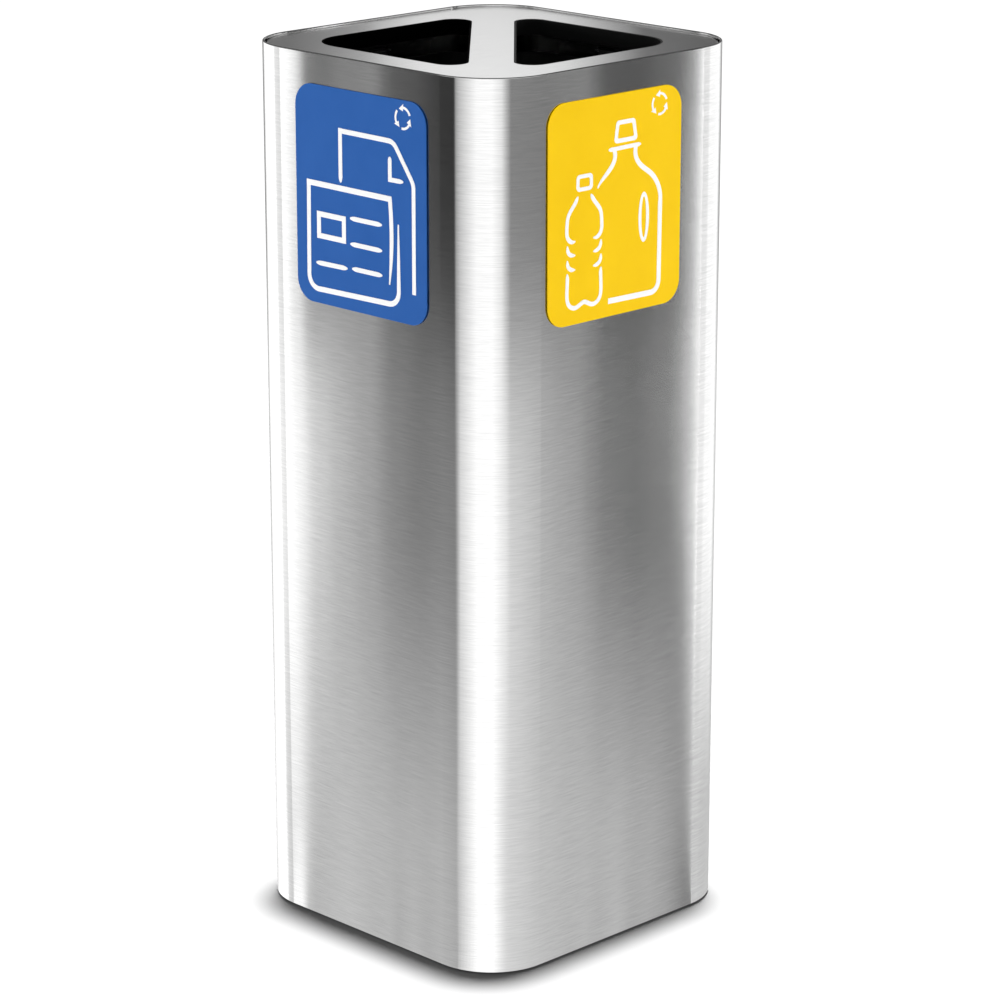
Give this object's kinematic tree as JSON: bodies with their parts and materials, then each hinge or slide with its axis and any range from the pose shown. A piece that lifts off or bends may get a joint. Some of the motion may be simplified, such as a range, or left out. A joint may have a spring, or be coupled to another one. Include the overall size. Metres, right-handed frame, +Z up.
{
  "type": "recycling bin",
  "caption": "Free-standing rounded-square steel recycling bin with a lift-off lid, triangular paper and plastic openings, and a removable triangular liner under each.",
  "frame": {"origin": "middle of the square footprint, on the floor under the rubber feet", "axes": "+Z up; the paper label faces -Y and the plastic label faces +X, so the corner between them, the front corner, points along +X-Y"},
  "size_m": [0.3218, 0.3218, 0.8],
  "materials": {
    "satin_steel": "satin brushed stainless sheet, grain horizontal on the walls",
    "plain_steel": "plain mill-finish sheet",
    "zinc_steel": "bright zinc-plated fasteners",
    "foot_rubber": "moulded black rubber",
    "blue_plate": "blue printed plastic plate, satin gloss",
    "yellow_plate": "yellow printed plastic plate, satin gloss",
    "white_print": "white printed strokes",
    "foam_tape": "double-sided foam tape",
    "collar_plastic": "black moulded plastic, fine texture",
    "liner_plastic": "black polypropylene",
    "black_wire": "black-coated steel wire",
    "grip_plastic": "black moulded grip, ribbed"
  },
  "bodies": {
    "housing": {"outer_shell": "satin_steel", "base_plate": "plain_steel", "foot_front": "foot_rubber", "foot_right": "foot_rubber", "foot_back": "foot_rubber", "foot_left": "foot_rubber", "foot_screws": "zinc_steel", "foot_washers": "zinc_steel", "foot_nuts": "zinc_steel", "lid_bracket_paper_face": "plain_steel", "lid_bracket_plastic_face": "plain_steel", "lid_bracket_rear_right": "plain_steel", "lid_bracket_rear_left": "plain_steel", "lid_pad_paper_face": "foot_rubber", "lid_pad_plastic_face": "foot_rubber", "lid_pad_rear_right": "foot_rubber", "lid_pad_rear_left": "foot_rubber", "paper_label": "blue_plate", "paper_label_tape": "foam_tape", "paper_pictogram": "white_print", "plastic_label": "yellow_plate", "plastic_label_tape": "foam_tape", "plastic_pictogram": "white_print"},
    "lid": {"lid_panel": "satin_steel", "band_channel": "plain_steel", "paper_collar": "collar_plastic", "plastic_collar": "collar_plastic"},
    "paper_bin": {"paper_liner": "liner_plastic"},
    "plastic_bin": {"plastic_liner": "liner_plastic"},
    "paper_handle": {"paper_bail": "black_wire", "paper_bail_grip": "grip_plastic"},
    "plastic_handle": {"plastic_bail": "black_wire", "plastic_bail_grip": "grip_plastic"}
  },
  "joints": [
    {"name": "lid_lift", "type": "slide", "parent": "housing", "child": "lid", "axis": [0, 0, 1], "range_m": [0, 1]},
    {"name": "paper_liner_lift", "type": "slide", "parent": "housing", "child": "paper_bin", "axis": [0, 0, 1], "range_m": [0, 0.79]},
    {"name": "plastic_liner_lift", "type": "slide", "parent": "housing", "child": "plastic_bin", "axis": [0, 0, 1], "range_m": [0, 0.79]},
    {"name": "paper_bail_swing", "type": "hinge", "parent": "paper_bin", "child": "paper_handle", "pos_m": [-0.05374, -0.05374, 0.75], "axis": [0.7071, -0.7071, 0], "range_deg": [0, 90]},
    {"name": "plastic_bail_swing", "type": "hinge", "parent": "plastic_bin", "child": "plastic_handle", "pos_m": [0.05374, 0.05374, 0.75], "axis": [-0.7071, 0.7071, 0], "range_deg": [0, 90]}
  ],
  "couplings": [
    {"joint": "paper_liner_lift", "follows": "lid_lift", "ratio": 0.79},
    {"joint": "plastic_liner_lift", "follows": "lid_lift", "ratio": 0.79}
  ]
}
